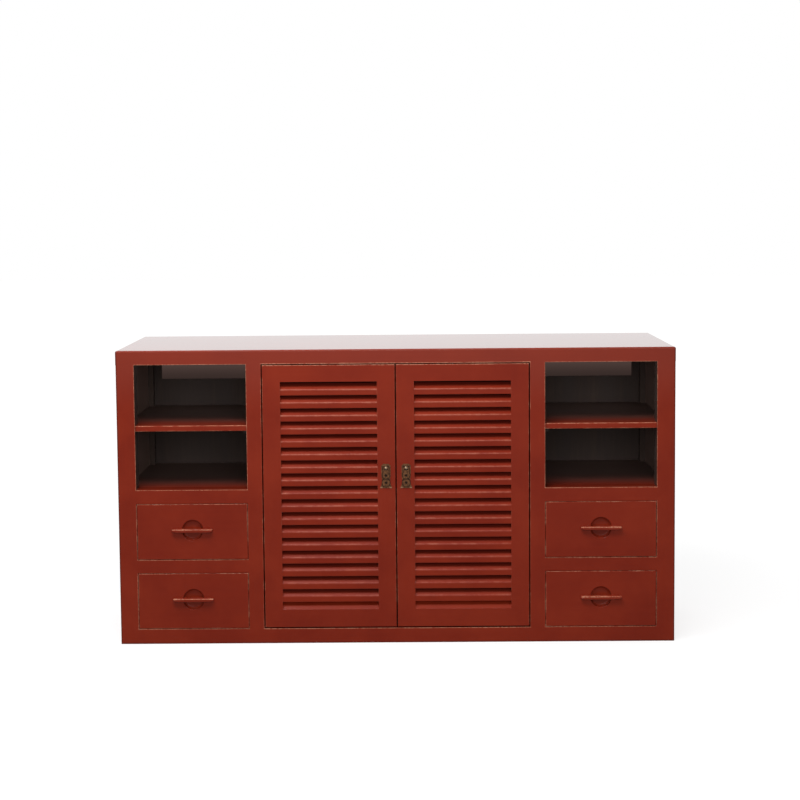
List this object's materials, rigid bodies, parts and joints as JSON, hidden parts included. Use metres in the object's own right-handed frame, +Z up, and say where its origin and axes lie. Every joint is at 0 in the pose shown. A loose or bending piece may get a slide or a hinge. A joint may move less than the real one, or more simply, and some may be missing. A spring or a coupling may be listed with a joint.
{
  "type": "side cabinet",
  "caption": "Red lacquered side cabinet with louvred doors on pivots, open niches, inset drawers with wooden bars across round recesses, and brass drop pulls.",
  "frame": {"origin": "on the floor, in the middle of the bounding box, which takes in the drawer bars", "axes": "+Z up, -Y out of the front with the doors and drawers, +X to the right of someone facing that front"},
  "size_m": [1.6, 0.462, 0.853],
  "materials": {
    "red_lacquer": "satin lacquer, worn to pale lines along the arrises",
    "dark_stain": "matt stain",
    "plain_wood": "planed, unfinished",
    "brass": "antiqued, rubbed bright"
  },
  "bodies": {
    "cabinet": {"top_front_rail": "red_lacquer", "top_back_rail": "red_lacquer", "top_side_rails": "red_lacquer", "top_panel": "red_lacquer", "top_battens": "dark_stain", "front_posts": "red_lacquer", "front_inner_posts": "red_lacquer", "back_posts": "red_lacquer", "front_bottom_rail": "red_lacquer", "back_bottom_rail": "red_lacquer", "side_bottom_rails": "red_lacquer", "bay_rails": "red_lacquer", "side_panels": "red_lacquer", "partitions": "dark_stain", "bay_back_panels": "dark_stain", "centre_back_panel": "dark_stain", "bottom_board": "dark_stain", "niche_floors": "red_lacquer", "niche_shelves": "red_lacquer", "centre_shelf": "dark_stain", "shelf_cleats": "dark_stain", "drawer_runners": "plain_wood", "pivot_sockets": "brass", "door_catches": "dark_stain"},
    "left_door": {"left_door_hinge_stile": "red_lacquer", "left_door_meeting_stile": "red_lacquer", "left_door_rails": "red_lacquer", "left_door_slats": "red_lacquer", "left_door_pivots": "brass", "left_pull_plate": "brass", "left_pull_pin": "brass"},
    "left_drop": {"left_pull_drop": "brass"},
    "right_door": {"right_door_hinge_stile": "red_lacquer", "right_door_meeting_stile": "red_lacquer", "right_door_rails": "red_lacquer", "right_door_slats": "red_lacquer", "right_door_pivots": "brass", "right_pull_plate": "brass", "right_pull_pin": "brass"},
    "right_drop": {"right_pull_drop": "brass"},
    "left_upper_drawer": {"left_upper_drawer_front": "red_lacquer", "left_upper_drawer_bar": "red_lacquer", "left_upper_drawer_sides": "plain_wood", "left_upper_drawer_back": "plain_wood", "left_upper_drawer_bottom": "plain_wood"},
    "left_lower_drawer": {"left_lower_drawer_front": "red_lacquer", "left_lower_drawer_bar": "red_lacquer", "left_lower_drawer_sides": "plain_wood", "left_lower_drawer_back": "plain_wood", "left_lower_drawer_bottom": "plain_wood"},
    "right_upper_drawer": {"right_upper_drawer_front": "red_lacquer", "right_upper_drawer_bar": "red_lacquer", "right_upper_drawer_sides": "plain_wood", "right_upper_drawer_back": "plain_wood", "right_upper_drawer_bottom": "plain_wood"},
    "right_lower_drawer": {"right_lower_drawer_front": "red_lacquer", "right_lower_drawer_bar": "red_lacquer", "right_lower_drawer_sides": "plain_wood", "right_lower_drawer_back": "plain_wood", "right_lower_drawer_bottom": "plain_wood"}
  },
  "joints": [
    {"name": "left_door_hinge", "type": "hinge", "parent": "cabinet", "child": "left_door", "pos_m": [-0.3715, -0.212, 0.0465], "axis": [0, 0, -1], "range_deg": [0, 95]},
    {"name": "left_drop_hinge", "type": "hinge", "parent": "left_door", "child": "left_drop", "pos_m": [-0.029, -0.2228, 0.511], "axis": [-1, 0, 0], "range_deg": [0, 90]},
    {"name": "right_door_hinge", "type": "hinge", "parent": "cabinet", "child": "right_door", "pos_m": [0.3715, -0.212, 0.0465], "axis": [0, 0, 1], "range_deg": [0, 95]},
    {"name": "right_drop_hinge", "type": "hinge", "parent": "right_door", "child": "right_drop", "pos_m": [0.029, -0.2228, 0.511], "axis": [-1, 0, 0], "range_deg": [0, 90]},
    {"name": "left_upper_drawer_slide", "type": "slide", "parent": "cabinet", "child": "left_upper_drawer", "axis": [0, -1, 0], "range_m": [0, 0.29]},
    {"name": "left_lower_drawer_slide", "type": "slide", "parent": "cabinet", "child": "left_lower_drawer", "axis": [0, -1, 0], "range_m": [0, 0.29]},
    {"name": "right_upper_drawer_slide", "type": "slide", "parent": "cabinet", "child": "right_upper_drawer", "axis": [0, -1, 0], "range_m": [0, 0.29]},
    {"name": "right_lower_drawer_slide", "type": "slide", "parent": "cabinet", "child": "right_lower_drawer", "axis": [0, -1, 0], "range_m": [0, 0.29]}
  ]
}
